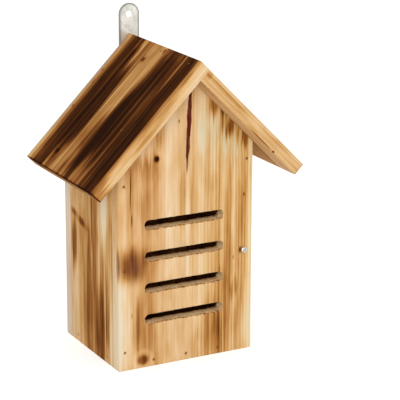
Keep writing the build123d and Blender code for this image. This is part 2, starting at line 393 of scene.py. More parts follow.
    # MULTIPLY only tints the wood; MIX covers it, and follows single fibres, so its edge is ragged
    for blend, colour, marks in look.get("stains", []):
        vector = board
        if blend == "MIX":
            vector = shifted(board, streaks(*fir["ragged"], 8, output="Color"), fir["raggedShift"])
        tone = add("Mix", {"Factor": addMarks(marks, vector, 0.0), 6: tone, 7: hexColour(colour)},
                   data_type="RGBA", blend_type=blend).outputs[2]

    smooth, rough = fir["roughness"]
    roughness = add("MapRange", {"Value": heat, "To Min": smooth, "To Max": rough})
    relief = add("Bump", {
        "Height": summed(lateWood, (fibres, 0.6)), "Strength": 0.55, "Distance": fir["bumpHeight"]})
    add("OutputMaterial", {"Surface": add("BsdfPrincipled", {
        "Base Color": tone, "Roughness": roughness, "IOR": 1.5, "Specular IOR Level": 0.02,
        "Normal": relief})})
    return material


# How the flame marked each board, with some painted shadow and painted shade among the marks, in board
# coordinates and mm.
# A mark is across, along, half width, half length and heat, and may add its softness and its lean in degrees.
# An end mark is a place, half sizes, heat.

frontFir = {
    "seed": 3, "pith": (-30, 46), "ringSpacing": 2.7, "bareHeat": 0.3, "ringHeat": 0.15,
    "furrowHeat": 0.06,
    "knots": [(-28.3, 188.8, 3.2), (-52.8, 95.3, 7), (-42.6, 7.4, 5.5)],
    "flame": [
        # cream sapwood down the middle and at the lower left
        (-12, 150, 10, 120, -0.06, 0.4), (15, 215, 6, 50, -0.14), (-60, 40, 6, 44, -0.12, 0.5),
        (1.5, 120, 1.8, 50, -0.12, 0.5), (-22, 45, 9, 30, -0.04, 0.7, -14), (17, 110, 7, 50, -0.05),
        (64.5, 90, 2.8, 190, -0.12, 0.4), (37, 140, 1.1, 160, -0.1, 0.5), (47.6, 150, 1.1, 160, -0.12, 0.5),
        # honey toned zones
        (-52, 150, 10, 40, 0.05), (-32, 158, 9, 32, 0.1), (-38, 60, 6, 60, 0.16, 0.7),
        (-4, 152, 3.4, 26, 0.12), (7, 146, 4, 30, 0.05), (29, 128, 4, 30, 0.06),
        (32, 190, 9, 34, -0.07, 0.7), (33, 110, 1.6, 110, 0.08, 0.5), (41, 66, 5, 62, 0.19, 0.5),
        (43, 150, 2.4, 30, 0.04), (54, 104, 5.6, 84, 0.07, 0.5), (58, 118, 5, 26, 0.05),
        (-46, 186, 16, 7, 0.08, 0.7), (59, 20, 4, 34, -0.06, 0.7), (-27, 207, 4, 10, 0.1, 0.7),
        (-28, 50, 7, 70, 0.07, 0.7), (-17, 40, 7, 30, 0.08, 0.7),
        # tongues of flame under the right hand slope
        (26.5, 229, 3.4, 8, 0.22), (35.5, 218, 1.8, 12, 0.2), (43.2, 209, 5, 9, 0.31),
        (57.5, 196, 3, 8, 0.32), (51, 203, 1.6, 9, 0.22), (61, 175, 0.9, 26, 0.1),
        # streaks at the lower left and right
        (-47, 38, 4.6, 28, 0.16, 0.7), (-47.2, 44, 1.6, 20, 0.1), (25, 26, 9, 28, 0.13, 0.5),
        (31, 16, 5, 30, 0.12, 0.5), (12, 6, 8, 16, 0.08), (48.5, 61, 4, 10, 0.14, 0.5),
        (52, 26, 5, 30, 0.06),
        # where the flame stayed a little longer, or less long; and at (36, 226) a painted shadow under the
        # right hand roof
        (-50, 178, 18, 10, 0.07, 0.7), (-38.5, 134, 5, 29, 0.11, 0.5), (-50, 150, 5, 36, 0.05),
        (38.5, 103, 4.6, 28, -0.07), (49.5, 178, 4.6, 40, -0.07), (49.5, 47, 4.6, 9, -0.06),
        (60.5, 186, 4, 16, -0.05), (27.5, 6, 6, 12, -0.09), (16.5, 204, 5, 18, -0.05),
        (16.5, 8, 5, 10, -0.07), (-5.5, 56, 5, 18, -0.06), (-5.5, 8, 5, 10, -0.06),
        (-5.5, 165, 5, 36, 0.04), (5.5, 150, 5, 18, 0.05), (5.5, 18, 5, 18, 0.05),
        (-27.5, 178, 5, 10, 0.06), (-27.5, 214, 5, 10, 0.06), (27.5, 234, 5, 8, 0.06),
        (38.5, 197, 4, 9, -0.15), (44, 188, 4, 10, -0.05), (-20, 8, 4, 8, 0.03), (27.5, 214, 5, 10, -0.14),
        (16.5, 210, 5, 22, -0.08), (27.5, 196, 5, 12, -0.05), (27.5, 162, 4, 9, 0.07),
        (36, 226, 3.4, 8, 0.2), (49.5, 194, 4, 9, -0.1), (49.5, 120, 4.6, 22, -0.06),
        (-38.5, 34, 5, 12, 0.05), (-38.5, 180, 5, 10, 0.09), (-53, 110, 8, 8, 0.05),
        (-49.5, 48, 5, 26, 0.04), (60.5, 32, 4, 36, -0.08), (38.5, 22, 4, 18, 0.03),
    ],
    "spots": [
        # the large scorched knot, the round one above it and the one at the foot
        (-51, 96, 16, 16, 0.13), (-50.4, 95, 9, 12.5, 0.17, 0.7), (-49.5, 93, 2.6, 8, 0.1, 0.8),
        (-62, 95, 5, 14, 0.16, 0.7), (-39, 103, 5, 8, 0.09, 0.8), (-28.3, 188.8, 1.9, 2.2, 0.46, 0.5),
        (-28.3, 188.8, 3.2, 3.8, 0.16, 0.5), (-42.6, 7.6, 7, 6.4, 0.1, 0.4),
        (-42.6, 7.2, 4.6, 4.2, 0.26, 0.5), (-42.6, 8, 10, 9, -0.06, 0.3),
        # thin resin lines and specks, and at (54.3, 95) a painted shadow beside the lock screw's head
        (-53.8, 163, 0.45, 15, 0.32, 0.5, 1), (-52.6, 137, 0.5, 5, 0.32), (54.3, 95, 1.2, 2.6, 0.42),
        (57.6, 146.1, 0.9, 1.8, 0.26), (-7, 219.5, 0.45, 1.6, 0.5, 0.5), (47.4, 89, 0.6, 2.2, 0.26, 0.5),
        (33.5, 79, 0.5, 4.5, 0.24), (-53, 50, 0.6, 2.6, 0.2),
    ],
    "stains": [
        # pinker on the left, olive at the upper right
        ("MULTIPLY", "#ffe2e8", [(-40, 140, 20, 130, 0.16)]),
        ("MULTIPLY", "#b1b580", [(46, 206, 26, 26, 0.2), (17, 200, 6, 44, 0.1, 0.7),
                                 (44, 209, 14, 12, 0.12)]),
        # the pitch pocket below the ridge, the purple heart of the large knot, and the greyed left arris
        ("MIX", "#5a1f14", [(3.1, 226, 2.2, 21, 0.97, 0.15, 1.5), (1.7, 203, 1.8, 18, 0.92, 0.2, 1),
                            (0.8, 187, 1.1, 14, 0.8, 0.4)]),
        ("MIX", "#5d3a38", [(-50, 94, 7, 12, 0.3, 0.9)]),
        ("MIX", "#d9ccb4", [(panelLow.x, 34, 3.4, 60, 0.36)]),
    ],
    # the sawn side stayed pale, with a painted shadow of the left eave near its top
    "throughMarks": [
        (panelLow.x, 60, 3, 130, -0.14), (panelLow.x, 130, 3, 46, 0.15, 0.7),
        (panelLow.x, 178, 3, 12, 0.06, 0.8),
    ],
    # the large knot runs on round the left arris
    "endMarks": [((panelLow.x, 1.4, 97), (2, 2.2, 15), 0.28)],
}

leftFir = {
    "start": -(wallHigh.y - wallLow.y + 2 * thickness) / 2,      # its marks count across from the rear
    "seed": 11, "pith": (-24, 60), "ringSpacing": 3, "yellow": 0.5, "bareHeat": 0.37, "ringHeat": 0.07,
    "furrowHeat": 0.05,
    "flame": [
        (22, 140, 12, 14, -0.06, 0.7), (24, 30, 9, 40, -0.1), (38, 96, 8, 30, 0.06), (31, 60, 4, 70, 0.08),
        (40, 30, 4, 40, 0.08, 0.5),
        # the finger below the slanting lick
        (20, 98, 4.6, 22, 0.2, 0.5, 2), (17, 74, 1.6, 18, 0.1, 0.6, 2),
        # brown bands, sharp towards the rear
        (51, 20, 6.4, 100, 0.2, 0.22), (46.2, 40, 1.1, 80, 0.08, 0.4), (57, 130, 1.6, 30, 0.2, 0.4),
        (64.5, 108, 6, 50, 0.14, 0.7), (77, 78, 5, 26, 0.12), (60, 40, 4.2, 70, 0.16, 0.5),
        (71.3, 96, 1.4, 46, -0.14, 0.5),
        # the darkest stretch, low in front
        (73, 20, 9, 46, 0.22, 0.4), (77, 34, 6, 50, 0.12), (67, 12, 3, 36, 0.08, 0.5),
        (83, 40, 0.8, 44, -0.12, 0.5), (86, 44, 1.2, 42, 0.22, 0.4), (91, 30, 3, 40, 0.06),
        # pale stretch under the eave
        (82, 136, 6.4, 24, -0.21, 0.8), (95.5, 40, 2.6, 60, -0.15, 0.5), (93, 110, 1.6, 70, 0.05),
        (97, 138, 1.4, 12, 0.07), (97, 40, 5, 46, -0.09), (97, 150, 5, 12, -0.08), (88, 140, 5, 20, -0.1),
        (88, 48, 4, 28, 0.05), (69, 112, 3, 9, 0.05), (69, 58, 3, 10, 0.05), (60.5, 92, 4, 36, -0.04),
        (51, 92, 4, 28, 0.04), (42, 62, 4, 30, 0.06), (32.5, 142, 4, 18, 0.09), (32.5, 18, 4, 20, 0.05),
        (13.8, 150, 4, 10, -0.1), (13.8, 30, 4, 34, -0.05), (23, 75, 4, 10, -0.05), (14, 94, 4, 12, 0.06),
        (69, 144, 4, 18, 0.04), (88, 22, 4, 9, 0.05), (70, 5, 8, 6, -0.05),
    ],
    "spots": [
        # the slanting lick
        (19.5, 123, 5, 2.8, 0.15, 0.7, 10), (35.5, 117.5, 5.5, 3.4, 0.15, 0.6, 14),
        (31, 119, 19, 3.6, 0.11, 0.6, 17),
    ],
}

roofLeftFir = {
    "start": -roofHigh.y,     # its marks count across from the rear, and down from the ridge
    "seed": 21, "pith": (40, 60), "ringSpacing": 2.6, "yellow": 0.7, "bareHeat": 0.24, "ringHeat": 0.08,
    "furrowHeat": -0.06, "faceHeat": 0.22, "innerFaceShade": 0, "burnDepth": 4.2,
    "flame": [
        (2.5, -44, 4.6, 60, 0.06, 0.5), (10, -72, 2.4, 400, 0.16, 0.5),
        # the rear dark band
        (23, -80, 10.5, 260, 0.42, 0.22, 0.4), (39, -78, 9.5, 48, 0.42, 0.3, 1.5),
        (34, -14, 3, 26, 0.18, 0.5), (44, -18, 2.6, 26, 0.16), (41, -134, 6, 16, 0.24),
        (48, -104, 4, 16, 0.1, 0.7),
        # its margin, then the light band, browner towards the eave
        (49, -74, 2.4, 50, 0.1, 0.7, 2), (62, -50, 12, 40, -0.06), (60, -84, 12, 26, 0.08, 0.7),
        (68, -98, 4.4, 24, 0.16, 0.7), (50, -20, 3, 40, 0.1, 0.7), (56, -138, 7, 12, -0.02, 0.7),
        (68, -134, 5, 14, 0.2, 0.7), (62, -92, 1.4, 40, -0.05), (55, -140, 4, 18, 0.08, 0.7),
        # the front dark band, nearly char in its middle
        (105, -60, 29, 230, 0.38, 0.12, -1), (77, -92, 8.5, 42, 0.3, 0.5), (77, -12, 4.5, 34, -0.2),
        (84, -88, 7.5, 46, 0.12, 0.4), (124, -76, 7, 300, 0.06, 0.4),
        # the light lines in it
        (113.5, -12, 1.5, 32, -0.26, 0.5), (106.5, -78, 1, 34, -0.13, 0.6, -1), (95, -60, 5, 70, 0.1),
        # fingers at the eave
        (91.5, -136, 3.6, 22, -0.3), (101, -140, 6, 16, -0.24, 0.7), (118, -140, 9, 14, -0.08, 0.7),
        # the front arris, browned but not charred
        (136, -50, 1.4, 60, -0.1, 0.5), (4, -120, 4, 40, -0.1), (4, -4, 4, 6, -0.1), (32, -4, 5, 7, -0.14),
        (86.5, -3, 5, 6, -0.1), (50.5, -62, 4, 12, -0.06), (56, -112, 9, 14, 0.06), (68, -78, 4, 22, -0.1),
        (68, -122, 4, 8, -0.08), (77.5, -56, 4, 16, -0.07), (100, -98, 10, 28, 0.06),
        (41.5, -122, 4, 8, -0.08), (132, -56, 4, 18, -0.07), (132, -112, 4, 14, 0.06),
        (13.5, -138, 4, 8, -0.13), (132, -138, 4, 8, -0.14), (32, -4, 5, 6, -0.1), (59, -3, 5, 5, -0.07),
        (96, -3, 16, 4, -0.08), (132, -12, 4, 12, 0.07), (3, -58, 5, 70, 0.07), (4, -36, 4, 10, 0.06),
        (23, -90, 6, 30, 0.05), (113, -82, 5, 24, 0.05), (86.5, -136, 4, 8, -0.08),
    ],
    "spots": [
        (54, -18.5, 2.4, 2.2, 0.22, 0.5), (54, -18.5, 5, 4.4, 0.06), (75.5, -3.6, 2, 1.6, 0.2, 0.5),
        (39, -126.7, 3, 2.6, 0.26, 0.5), (6.5, -56, 1.2, 2.2, 0.16), (70, -5, 1.2, 0.8, 0.14),
    ],
    # the eave end caught the flame too
    "throughMarks": [(roofWidth, -72, 3, 40, 0.12), (roofWidth, -142, 6, 12, 0.22, 0.7)],
    "endMarks": [
        ((-roofLow.y, 7.5, -74), (2, 1.6, 26), 0.13), ((-roofLow.y, 4.5, -52), (2, 1.6, 16), 0.07),
        ((-roofLow.y, 10.9, -52), (2, 1.4, 34), -0.08), ((-roofLow.y, 1.2, -20), (2, 1.4, 9), 0.09),
        ((-roofLow.y, 1.2, -94), (2, 1.4, 16), -0.08), ((-roofLow.y, 1.2, -138), (2, 1.4, 8), -0.1),
        ((-roofLow.y, 10.9, -6), (2, 1.4, 8), 0.07), ((0, 6, -slopeLength), (400, 60, 1.2), 0.27),
    ],
    "stains": [("MIX", "#cfc2aa", [(0, -80, 4.5, 110, 0.42)])],
}

roofRightFir = {
    "seed": 29, "pith": (-30, 52), "ringSpacing": 3.1, "yellow": 0.3, "bareHeat": 0.305, "ringHeat": 0.14,
    # its underside is painted paler: painted light where it lies in shade
    "furrowHeat": -0.05, "faceHeat": 0.1, "innerFaceShade": -0.07, "burnDepth": 2.2,
    "flame": [
        (-66, -80, 9, 260, 0.36, 0.25), (-42, -90, 10, 130, 0.38, 0.3), (-12, -64, 13, 180, 0.36, 0.3, 1),
        (22, -84, 9, 200, 0.4, 0.25), (42, -90, 8, 90, 0.36, 0.3), (-54, -40, 2, 60, -0.1, 0.5),
        (6, -120, 5, 30, -0.14, 0.5), (32, -30, 3, 50, -0.1, 0.5), (-28, -130, 4, 24, -0.14, 0.5),
        (-80, -72, 2.6, 400, -0.1, 0.5),
    ],
    "spots": [(-20, -48, 2.4, 2.2, 0.2, 0.4), (34, -112, 3, 2.6, 0.22, 0.4)],
    "throughMarks": [(roofLow.y, -42, 3, 26, 0.08)],
    # a pin knot and a fine crack along the lower arris in front, and painted shade on the underside near the
    # panel
    "endMarks": [
        ((roofLow.y, 11.3, -112.3), (1.1, 0.9, 1.1), 0.5), ((roofLow.y, 11.3, -96), (1.2, 0.5, 13), 0.34),
        ((roofLow.y, 4.5, -36), (2, 1.6, 32), 0.12), ((roofLow.y, 10.5, -82), (2, 1.6, 8), 0.06),
        ((roofLow.y, 1.2, -100), (2, 1.6, 8), -0.07), ((-25, 12.6, -90), (34, 1, 90), 0.14),
        ((roofLow.y + 12, 12.6, -60), (16, 1, 90), 0.13), ((-48, 12.6, -112), (12, 1, 40), 0.15),
        ((roofLow.y, 3, -thickness - 3), (2, 4, 3), 0.12), ((0, 6, -slopeLength), (400, 60, 1.2), 0.06),
    ],
}

doorFir = {
    "seed": 37, "pith": (12, 40), "ringSpacing": 3.2, "bareHeat": 0.28, "ringHeat": 0.12, "furrowHeat": 0.05,
    "knots": [(16, 128, 4)],
    "flame": [
        (-30, 70, 6, 120, 0.15, 0.45), (-18, 30, 7, 50, 0.2, 0.45), (2, 90, 5, 200, 0.05),
        (12, 150, 4, 36, 0.18, 0.5), (24, 60, 5, 60, 0.12, 0.5), (34, 110, 4, 90, 0.17, 0.45),
        (-8, 130, 5, 40, -0.08), (38, 20, 3, 30, 0.14, 0.5),
    ],
    "spots": [(16, 128, 3.2, 4, 0.28, 0.4), (16, 128, 8, 9, 0.1)],
}

backFir = {
    "seed": 43, "pith": (-22, 38), "ringSpacing": 3.6, "bareHeat": 0.26, "ringHeat": 0.12, "furrowHeat": 0.05,
    "knots": [(34, 92, 5), (-26, 170, 3.4)],
    "flame": [
        (-48, 90, 7, 120, 0.12, 0.5), (-30, 50, 6, 60, 0.18, 0.45), (-6, 200, 6, 50, 0.18, 0.45),
        (14, 60, 5, 80, 0.1), (30, 210, 5, 30, 0.2, 0.5), (44, 60, 6, 90, 0.15, 0.5), (56, 150, 4, 60, 0.1),
        (2, 120, 9, 200, -0.07),
    ],
    "spots": [(34, 92, 4.4, 5.2, 0.28, 0.4), (34, 92, 10, 11, 0.12), (-26, 170, 2.6, 3.2, 0.34, 0.4)],
    "throughMarks": [(backHigh.x, 120, 3, 46, -0.06), (backHigh.x, 44, 3, 50, 0.14, 0.7)],
    "stains": [("MIX", "#dad0c2", [(backHigh.x, 90, 3.2, 170, 0.6, 0.4)])],
}

floorFir = {
    "seed": 51, "pith": (8, 30), "ringSpacing": 3.4, "bareHeat": 0.22, "ringHeat": 0.12, "furrowHeat": 0.04,
    "flame": [(-20, 0, 8, 80, 0.05), (18, 10, 7, 60, 0.06)],
}


# Boards as meshes, built in board coordinates and millimetres, then placed

boardLook = {
    "arris": 0.55,            # the sanded edge, mm
    "arrisSteps": 2,
    "furrowPitch": 1.15,      # mm between the cuts that carry the relief
    "furrowSpread": 0.25,
    "rowPitch": 9.0,
    "furrowDepth": 0.17,      # how deep the brush took the soft wood
    "furrowMean": 0.45,       # the usual share of that
    "furrows": [(1.7, 95, 0.75, 7), (5.0, 240, 0.45, 13)],      # width and length in mm, share, seed
    "furrowDrift": (30, 110, 2.2),    # and how far they drift aside
    "sharpAngle": math.radians(38),
    "sliver": 0.0012,         # narrower faces, which the cuts left, are dissolved
}

nailHoleLook = {"radius": 1.15, "lip": 0.08, "depth": 1.5, "segments": 16}
nailStain = (1.3, 1.7, 0.09)          # rust browned the wood round the nails: half width, half length, heat

edgeHoleLook = {"lip": 0.1, "segments": 16}

boreLook = {"lip": 0.15, "lipDepth": 0.3, "segments": 20}

slotLook = {
    "length": 77.5, "height": 8.5, "lip": 0.35, "lipDepth": 0.4, "segments": 28,
    "tornDepth": 0.9,         # how far the torn fibres wander from the cut, mm
    "tornPitch": 5.2,
    "upperShare": 0.4,        # how much of that the upper rim shows
    "broken": 0.5,            # how far the lower rim is broken away at the face, mm
    "brokenDepth": 3,
    "rimShare": 0.25,         # of the height, from the middle: what lies beyond is upper or lower rim
    "floorShare": 0.35,
}


def boardAxes(origin, across, along):
    # Board coordinates: across the grain, inward from the face that shows, along the grain
    inward = Vector(along).cross(Vector(across))
    return Matrix.Translation(origin) @ Matrix((across, inward, along)).transposed().to_4x4()


def islandCentres(node):
    # the middle of each separate solid in a CAD node, in mm
    bm = bmesh.new()
    bm.from_mesh(frame["nodes"][node].data)
    bmesh.ops.remove_doubles(bm, verts=bm.verts, dist=1e-6)
    centres, seen = [], set()
    for first in bm.verts:
        if first in seen:
            continue
        seen.add(first)
        island = [first]
        for vert in island:   # the list grows while it is read
            others = [edge.other_vert(vert) for edge in vert.link_edges]
            island += [other for other in others if other not in seen]
            seen.update(others)
        low, high = [[pick(vert.co[axis] for vert in island) for axis in range(3)] for pick in (min, max)]
        centres.append((Vector(low) + Vector(high)) / 2 / mm)
    bm.free()
    return centres


def widestFace(bm, direction):
    # the largest flat face that looks that way
    bm.normal_update()
    facing = [face for face in bm.faces if face.normal.dot(Vector(direction)) > 0.999]
    return max(facing, key=lambda face: face.calc_area())


def vertsOf(parts):
    return [part for part in parts if isinstance(part, bmesh.types.BMVert)]


def edgesAmong(edges, verts):
    mine = set(verts)
    return [edge for edge in edges if mine.issuperset(edge.verts)]


def ringIn(bm, centre, radius, segments, turn, length=0.0):
    # a ring of edges, round, or long with round ends
    verts = bmesh.ops.create_circle(bm, cap_ends=False, segments=segments, radius=radius)["verts"]
    bmesh.ops.rotate(bm, verts=verts, cent=(0, 0, 0), matrix=Matrix.Rotation(math.pi / segments, 3, "Z"))
    for vert in verts:
        vert.co.x += math.copysign(length / 2 - radius, vert.co.x) if length else 0
    bmesh.ops.transform(bm, verts=verts, matrix=Matrix.Translation(centre) @ turn)
    return edgesAmong(bm.edges, verts)


def sink(bm, ring, centre, step, growth):
    # takes a ring of edges one step inwards and grows or shrinks it towards its centre line
    made = bmesh.ops.extrude_edge_only(bm, edges=ring)["geom"]
    verts = vertsOf(made)
    middle, half, reach = centre
    for vert in verts:
        across = Vector(vert.co) - middle
        across -= step.normalized() * across.dot(step.normalized())
        across -= reach * max(-half, min(half, across.dot(reach)))
        vert.co += across.normalized() * growth + step
    return edgesAmong([part for part in made if isinstance(part, bmesh.types.BMEdge)], verts)


def openFace(bm, face, rings):
    # refills a flat face around the rings that lie in it
    border, normal = list(face.edges), face.normal.copy()
    bmesh.ops.delete(bm, geom=[face], context="FACES_ONLY")
    bmesh.ops.triangle_fill(bm, use_beauty=True, use_dissolve=False,
                            edges=border + [edge for ring in rings for edge in ring], normal=normal)


def blindHole(bm, place, inward, radius, depth, lip, segments):
    # a round hole with an eased mouth and a flat bottom; returns the ring at its mouth
    turn = inward.to_track_quat("Z", "Y").to_matrix().to_4x4()
    mouth = ringIn(bm, place, radius + lip, segments, turn)
    line = (place, 0.0, Vector((0, 0, 0)))
    ring = sink(bm, mouth, line, inward * lip, -lip)
    ring = sink(bm, ring, line, inward * (depth - lip), 0.0)
    bmesh.ops.edgeloop_fill(bm, edges=ring)
    return mouth


def throughHole(bm, place, depth, radius, look, length=0.0):
    # a bore right through, or a slot if it has a length: its rings at the outer and the inner face
    turn = Matrix.Rotation(math.radians(90), 4, "X")
    lip, inward = look["lip"], Vector((0, 1, 0))
    line = (place, max(0.0, length / 2 - radius), Vector((1, 0, 0)))
    outer = ringIn(bm, place, radius + lip, look["segments"], turn, length + 2 * lip if length else 0.0)
    ring = sink(bm, outer, line, inward * look["lipDepth"], -lip)
    for share in (0.2, 0.3, 0.3, 0.2):
        ring = sink(bm, ring, line, inward * (depth - 2 * look["lipDepth"]) * share, 0.0)
    inner = sink(bm, ring, line, inward * look["lipDepth"], lip)
    return outer, inner


def cutAcross(bm, places, direction):
    for place in places:
        bmesh.ops.bisect_plane(bm, geom=bm.verts[:] + bm.edges[:] + bm.faces[:], dist=1e-4,
                               plane_co=Vector(direction) * place, plane_no=direction)


def furrowAt(across, along, seed, look):
    # how deep the brush cut there, 0 to 1: long furrows that drift a little
    width, length, aside = look["furrowDrift"]
    place = across + aside * noise.noise(Vector((across / width, along / length, seed)))
    depth = look["furrowMean"]
    for width, length, share, salt in look["furrows"]:
        depth += share * noise.noise(Vector((place / width, along / length, seed + salt)))
    return min(1.0, max(0.0, depth))


def brushFaces(bm, depth, seed, look):
    # sinks the furrows into both wide faces and keeps their depth for the finish
    layer = bm.verts.layers.float.new("furrow")
    for vert in bm.verts:
        across, inward, along = vert.co
        cut = furrowAt(across, along, seed, look)
        vert[layer] = cut
        if abs(inward) < 1e-3:
            vert.co.y += look["furrowDepth"] * cut
        elif abs(inward - depth) < 1e-3:
            vert.co.y -= look["furrowDepth"] * cut


def tearSlots(bm, slots, look):
    # roughens the slot walls: torn fibres at the rims, saw marks inside; marks what the finish treats apart
    sawn, slotFloor = bm.verts.layers.float.new("sawn"), bm.verts.layers.float.new("slotFloor")
    halfLine = (look["length"] - look["height"]) / 2
    for place in slots:
        for vert in bm.verts:
            reach = vert.co - place
            reach.y = 0
            reach.x -= max(-halfLine, min(halfLine, reach.x))
            if reach.length > look["height"] / 2 + look["lip"] + 0.02:
                continue
            spot = Vector((vert.co.x / look["tornPitch"], vert.co.y / 3.5, vert.co.z))
            tear = 0.1 + 0.3 * noise.noise(spot) + 0.7 * noise.noise(spot * 3.7)
            depth, level = vert.co.y, reach.z / look["height"]
            vert[sawn] = 1.0 if depth > 0.3 else 0.0
            vert[slotFloor] = vert[sawn] if level < -look["floorShare"] else 0.0
            # the lower rim is broken away a little, towards the face, and the upper rim hardly tore
            fading = max(0, 1 - depth / look["brokenDepth"])
            broken = look["broken"] * fading if level < -look["rimShare"] else 0
            tornDepth = look["tornDepth"] * (look["upperShare"] if level > look["rimShare"] else 1)
            vert.co += reach.normalized() * (tear * tornDepth + broken)


def finishMesh(bm, name, axes, material, body, replaced):
    bmesh.ops.dissolve_degenerate(bm, dist=boardLook["sliver"], edges=bm.edges)
    bmesh.ops.recalc_face_normals(bm, faces=bm.faces)
    for face in bm.faces:
        face.smooth = True
    for edge in bm.edges:
        edge.smooth = len(edge.link_faces) == 2 and edge.calc_face_angle() < boardLook["sharpAngle"]
    bmesh.ops.transform(bm, verts=bm.verts, matrix=Matrix.Scale(mm, 4) @ axes)
    mesh = bpy.data.meshes.new(name)
    bm.to_mesh(mesh)
    bm.free()
    mesh.materials.append(material)
    piece = putInScene(name, mesh)
    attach(piece, body)
    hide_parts(*replaced)
    print(name, "made:", len(mesh.polygons), "faces")


def rowPlaces(low, high, slots):
    # levels for the cross cuts, kept away from the rims of the slots
    count = round((high - low) / boardLook["rowPitch"])
    levels = [low + (high - low) * step / count for step in range(1, count)]
    keepOff = slotLook["height"] / 2 + slotLook["lip"]
    return [level for level in levels if all(abs(abs(level - place.z) - keepOff) > 1.2 for place in slots)]


def makeBoard(name, node, look, axes, outline, body="house", nails=(), slots=(), bores=(),
              edgeHoles=(), topRise=0.0):
    # outline: corners across and along; nails: nodes whose nails enter the face that shows;
    # topRise: how far the top end rises towards the inner face
    bm = bmesh.new()
    face = bm.faces.new([bm.verts.new((across, 0, along)) for across, along in outline])
    far = vertsOf(bmesh.ops.extrude_face_region(bm, geom=[face])["geom"])
    bmesh.ops.translate(bm, verts=far, vec=(0, thickness, 0))
    acrosses, alongs = zip(*outline)
    if topRise:
        top = [vert for vert in far if vert.co.z > max(alongs) - 1e-3]
        bmesh.ops.translate(bm, verts=top, vec=(0, 0, topRise))
    bmesh.ops.recalc_face_normals(bm, faces=bm.faces)
    bmesh.ops.bevel(bm, geom=bm.edges[:], offset=boardLook["arris"], affect="EDGES",
                    segments=boardLook["arrisSteps"], profile=0.5, material=-1)

    inward, toBoard = Vector((0, 1, 0)), axes.inverted()
    nailPlaces = [toBoard @ place for group in nails for place in islandCentres(group)]
    nailPlaces = [Vector((place.x, 0, place.z)) for place in nailPlaces]
    mouths = [blindHole(bm, place, inward, **nailHoleLook) for place in nailPlaces]
    through = [throughHole(bm, place, thickness, slotLook["height"] / 2, slotLook, slotLook["length"])
               for place in slots]
    through += [throughHole(bm, place, thickness, radius, boreLook) for place, radius in bores]
    mouths += [outer for outer, inner in through]
    if mouths:
        openFace(bm, widestFace(bm, (0, -1, 0)), mouths)
    if through:
        openFace(bm, widestFace(bm, (0, 1, 0)), [inner for outer, inner in through])
    for side in sorted({hole[0] for hole in edgeHoles}):
        away = Vector((side, 0, 0))
        rings = [blindHole(bm, place, -away, radius, depth, **edgeHoleLook)
                 for where, place, radius, depth in edgeHoles if where == side]
        openFace(bm, widestFace(bm, away), rings)

    dice = random.Random(look["seed"])
    place, cuts = min(acrosses), []
    while place < max(acrosses) - 2:
        place += boardLook["furrowPitch"] * (1 + boardLook["furrowSpread"] * dice.uniform(-1, 1))
        cuts.append(place)
    cutAcross(bm, cuts[:-1], (1, 0, 0))
    cutAcross(bm, rowPlaces(min(alongs), max(alongs) + topRise, slots), (0, 0, 1))
    brushFaces(bm, thickness, look["seed"], boardLook)
    tearSlots(bm, slots, slotLook)

    stains = [(place.x - look.get("start", 0), place.z, *nailStain) for place in nailPlaces]
    fir = scorchedFir("scorchedFir_" + name, axes, dict(look, spots=look.get("spots", []) + stains))
    finishMesh(bm, name, axes, fir, body, [node])


def slotMiddle(opening):
    low, high = opening["box_m"]
    return Vector(((low[0] + high[0]) / 2, 0, (low[2] + high[2]) / 2)) / mm


def oblong(left, right, bottom, top):
    return [(left, bottom), (right, bottom), (right, top), (left, top)]


openings = frame["record"]["physics"]["openings"]
slotPlaces = [slotMiddle(opening) for opening in openings if opening["name"].startswith("slot")]
screwLow, screwHigh = boxOf("lock_screw")
pivotLow, pivotHigh = boxOf("pivot_nail_front")
screwPlace = (screwLow + screwHigh) / 2
pivotPlace = (pivotLow + pivotHigh) / 2
screwHole, pivotHole = (1.55, 8.0), (0.75, 16.0)      # radius, and depth in the door's edges

upright = (0, 0, 1)
gable = [(panelLow.x, panelLow.z), (panelHigh.x, panelLow.z), (panelHigh.x, shoulder),
         (0, panelHigh.z), (panelLow.x, shoulder)]

makeBoard("frontPanel", "front_panel", frontFir, boardAxes((0, panelLow.y, 0), (1, 0, 0), upright), gable,
          nails=["front_wall_nails", "front_floor_nails", "pivot_nail_front"], slots=slotPlaces,
          bores=[(Vector((screwPlace.x, 0, screwPlace.z)), screwHole[0])])
makeBoard("backPanel", "back_panel", backFir, boardAxes((0, backHigh.y, 0), (-1, 0, 0), upright), gable,
          nails=["back_wall_nails", "back_floor_nails", "pivot_nail_back"])
makeBoard("leftWall", "left_wall", leftFir, boardAxes((wallLow.x, 0, 0), (0, -1, 0), upright),
          oblong(wallLow.y, wallHigh.y, wallLow.z, shoulder), nails=["side_floor_nails"], topRise=thickness)
makeBoard("floorBoard", "floor_board", floorFir, boardAxes((0, 0, 0), (0, 1, 0), (1, 0, 0)),
          oblong(floorLow.y, floorHigh.y, floorLow.x, floorHigh.x))
makeBoard("roofBoardLeft", "roof_board_left", roofLeftFir, boardAxes(ridge, (0, -1, 0), (slope, 0, slope)),
          oblong(-roofHigh.y, -roofLow.y, -slopeLength, 0),
          nails=["ridge_nails", "roof_left_nails"])
makeBoard("roofBoardRight", "roof_board_right", roofRightFir, boardAxes(ridge, (0, 1, 0), (-slope, 0, slope)),
          oblong(roofLow.y, roofHigh.y, -slopeLength, -thickness),
          nails=["roof_right_nails"])

doorEdges = [(side, Vector((reach, doorHigh.x - place.x, place.z)), *hole)
             for side, reach, place, hole in [
                 (-1, doorLow.y, screwPlace, screwHole), (-1, doorLow.y, pivotPlace, pivotHole),
                 (1, doorHigh.y, pivotPlace, pivotHole)]]
makeBoard("sideDoor", "side_door", doorFir, boardAxes((doorHigh.x, 0, 0), (0, 1, 0), upright),
          oblong(doorLow.y, doorHigh.y, doorLow.z, doorHigh.z - thickness), body="side_door",
          edgeHoles=doorEdges, topRise=thickness)
print("boards done")


# Metal

